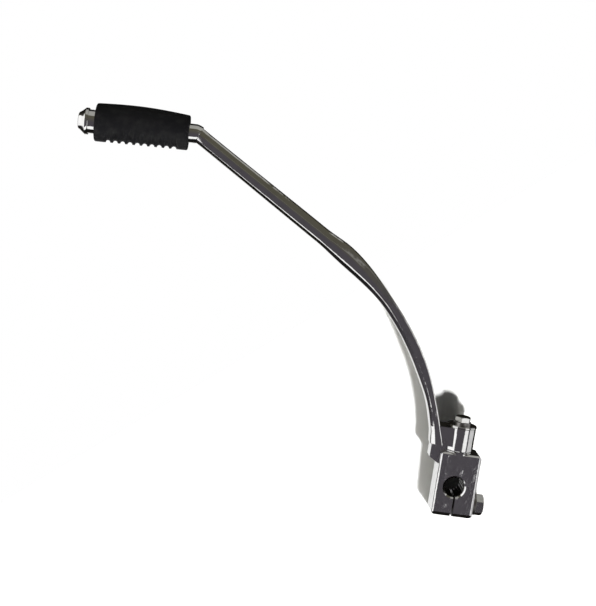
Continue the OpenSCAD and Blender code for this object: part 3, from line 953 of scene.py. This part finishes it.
# The camera, with its angles in degrees
CAMERA_AT = Vector((-0.16939, -0.78085, 0.21761))
CAMERA_AZIMUTH = -3.5
CAMERA_ELEVATION = 8.0
CAMERA_ROLL = 8.5
FOCAL_PIXELS = 1197
IMAGE_HEIGHT = 606
SENSOR = 36


def stage_paper():
    """Matt pale paper. To the camera it is plain white above the arm and far below it, and from behind it is
    clear."""
    paper = bpy.data.materials.new("stage paper")
    paper.use_nodes = True
    tree = paper.node_tree
    shader = tree.nodes["Principled BSDF"]
    shader.inputs["Base Color"].default_value = (0.97, 0.97, 0.96, 1.0)
    shader.inputs["Roughness"].default_value = 0.9
    where = tree.nodes.new("ShaderNodeTexCoord").outputs["Object"]
    grain = put(tree, "ShaderNodeTexNoise", {"Vector": where, "Scale": 900.0, "Detail": 2.0})
    lift = put(tree, "ShaderNodeBump", {"Height": grain.outputs["Fac"], "Strength": 0.05})
    tree.links.new(lift.outputs["Normal"], shader.inputs["Normal"])
    spot = split_xyz(tree, where)
    rise = calc(tree, "SUBTRACT", calc(tree, "MULTIPLY", spot["Z"], WHITE_SLOPE), spot["X"])
    above = ramp(tree, rise, *WHITE_ABOVE, 0.0, 1.0)
    bare = calc(tree, "MAXIMUM", above, calc(tree, "LESS_THAN", spot["Z"], WHITE_BELOW))
    white = tree.nodes.new("ShaderNodeEmission")
    seen = tree.nodes.new("ShaderNodeLightPath").outputs["Is Camera Ray"]
    plain = put(tree, "ShaderNodeMixShader",
                {"Fac": calc(tree, "MULTIPLY", bare, seen), 1: shader.outputs[0], 2: white.outputs[0]})
    clear = tree.nodes.new("ShaderNodeBsdfTransparent")
    behind = tree.nodes.new("ShaderNodeNewGeometry").outputs["Backfacing"]
    sides = put(tree, "ShaderNodeMixShader", {"Fac": behind, 1: plain.outputs[0], 2: clear.outputs[0]})
    tree.links.new(sides.outputs[0], tree.nodes["Material Output"].inputs["Surface"])
    return paper


def stage_plane(name, corners, paper):
    """A plane that takes shadows and doesn't show in reflections."""
    mesh = bpy.data.meshes.new(name)
    mesh.from_pydata(corners, [], [(0, 1, 2, 3)])
    mesh.materials.append(paper)
    plane = bpy.data.objects.new(name, mesh)
    bpy.context.scene.collection.objects.link(plane)
    plane.visible_glossy = False


def lamp(name, place, size, watts, colour):
    """A square lamp turned to the middle of the lever. It doesn't show in reflections."""
    data = bpy.data.lights.new(name, "AREA")
    data.color = colour
    data.size = size
    data.energy = watts
    obj = bpy.data.objects.new(name, data)
    bpy.context.scene.collection.objects.link(obj)
    obj.location = place
    obj.rotation_euler = (Vector(AIM) - Vector(place)).to_track_quat("-Z", "Y").to_euler()
    obj.visible_glossy = False


def studio_world():
    """A world that is white to the camera, to metal and to glass, and lights little."""
    world = bpy.data.worlds.new("studio")
    world.use_nodes = True
    tree = world.node_tree
    rays = tree.nodes.new("ShaderNodeLightPath").outputs
    seen = calc(tree, "MAXIMUM", rays["Is Camera Ray"],
                calc(tree, "MAXIMUM", rays["Is Glossy Ray"], rays["Is Transmission Ray"]))
    light = tree.nodes["Background"]
    light.inputs["Color"].default_value = (1, 0.99, 0.94, 1)
    tree.links.new(ramp(tree, seen, 0.0, 1.0, WORLD_LIGHT, WORLD_SEEN), light.inputs["Strength"])
    return world


def photograph_camera():
    """The camera at the photograph's angle, leaning to one side as the photographer's did."""
    a, e, roll = (math.radians(d) for d in (CAMERA_AZIMUTH, CAMERA_ELEVATION, CAMERA_ROLL))
    back = Vector((math.sin(a) * math.cos(e), -math.cos(a) * math.cos(e), math.sin(e)))
    right = (-back).cross(Vector((0, 0, 1))).normalized()
    up = right.cross(-back)
    turned_right = right * math.cos(roll) + up * math.sin(roll)
    turned_up = up * math.cos(roll) - right * math.sin(roll)
    axes = Matrix((turned_right, turned_up, back)).transposed().to_4x4()
    data = bpy.data.cameras.new("camera")
    data.sensor_width = SENSOR
    data.lens = FOCAL_PIXELS / IMAGE_HEIGHT * SENSOR
    data.clip_start, data.clip_end = 0.01, 10
    camera = bpy.data.objects.new("camera", data)
    bpy.context.scene.collection.objects.link(camera)
    camera.matrix_world = Matrix.Translation(CAMERA_AT) @ axes
    return camera


class KICK_OT_stage(bpy.types.Operator):
    """Sets the floor, the backdrop, the lamps and the camera"""
    bl_idname = "kick_lever.stage"
    bl_label = "Stage"

    def execute(self, context):
        context.scene.view_settings.view_transform = "Standard"
        paper = stage_paper()
        w = SHEET_HALF
        leaning = [(x, SHEET_AT + SHEET_LEAN * z, z)
                   for x, z in ((-w, FLOOR_AT), (w, FLOOR_AT), (w, SHEET_TOP), (-w, SHEET_TOP))]
        level = [(x, y, FLOOR_AT) for x, y in ((-w, -w), (w, -w), (w, w), (-w, w))]
        stage_plane("backdrop", leaning, paper)
        stage_plane("floor", level, paper)
        lamp("key lamp", (0.48, -1.05, -0.55), size=0.12, watts=26, colour=(1, 1, 1))
        lamp("fill lamp", (-0.9, -1.0, 0.25), size=0.3, watts=4.4, colour=(1, 0.985, 0.91))
        painted_reflection_tent()
        context.scene.world = studio_world()
        context.scene.camera = photograph_camera()
        return {"FINISHED"}


class KICK_PT_panel(bpy.types.Panel):
    """Lists the sizes, the colours and the steps"""
    bl_idname = "KICK_PT_panel"
    bl_label = "Kick Start Lever"
    bl_space_type = "VIEW_3D"
    bl_region_type = "UI"
    bl_category = "Kick Start"

    def draw(self, context):
        layout = self.layout
        for values in (context.scene.kick_lever_sizes, context.scene.kick_lever_colours):
            for key in values.__annotations__:
                layout.prop(values, key)
        for step in STEPS:
            layout.operator(step.bl_idname)


STEPS = (KICK_OT_arm, KICK_OT_rubber, KICK_OT_boss, KICK_OT_fasteners, KICK_OT_detent, KICK_OT_stage)
CLASSES = (LeverSizes, LeverColours) + STEPS + (KICK_PT_panel,)


def register():
    for c in CLASSES:
        bpy.utils.register_class(c)
    bpy.types.Scene.kick_lever_sizes = bpy.props.PointerProperty(type=LeverSizes)
    bpy.types.Scene.kick_lever_colours = bpy.props.PointerProperty(type=LeverColours)


def unregister():
    del bpy.types.Scene.kick_lever_sizes
    del bpy.types.Scene.kick_lever_colours
    for c in reversed(CLASSES):
        bpy.utils.unregister_class(c)


def main():
    register()
    steps = bpy.ops.kick_lever
    for step in (steps.arm, steps.rubber, steps.boss, steps.fasteners, steps.detent, steps.stage):
        step()


if __name__ == "__main__":
    main()
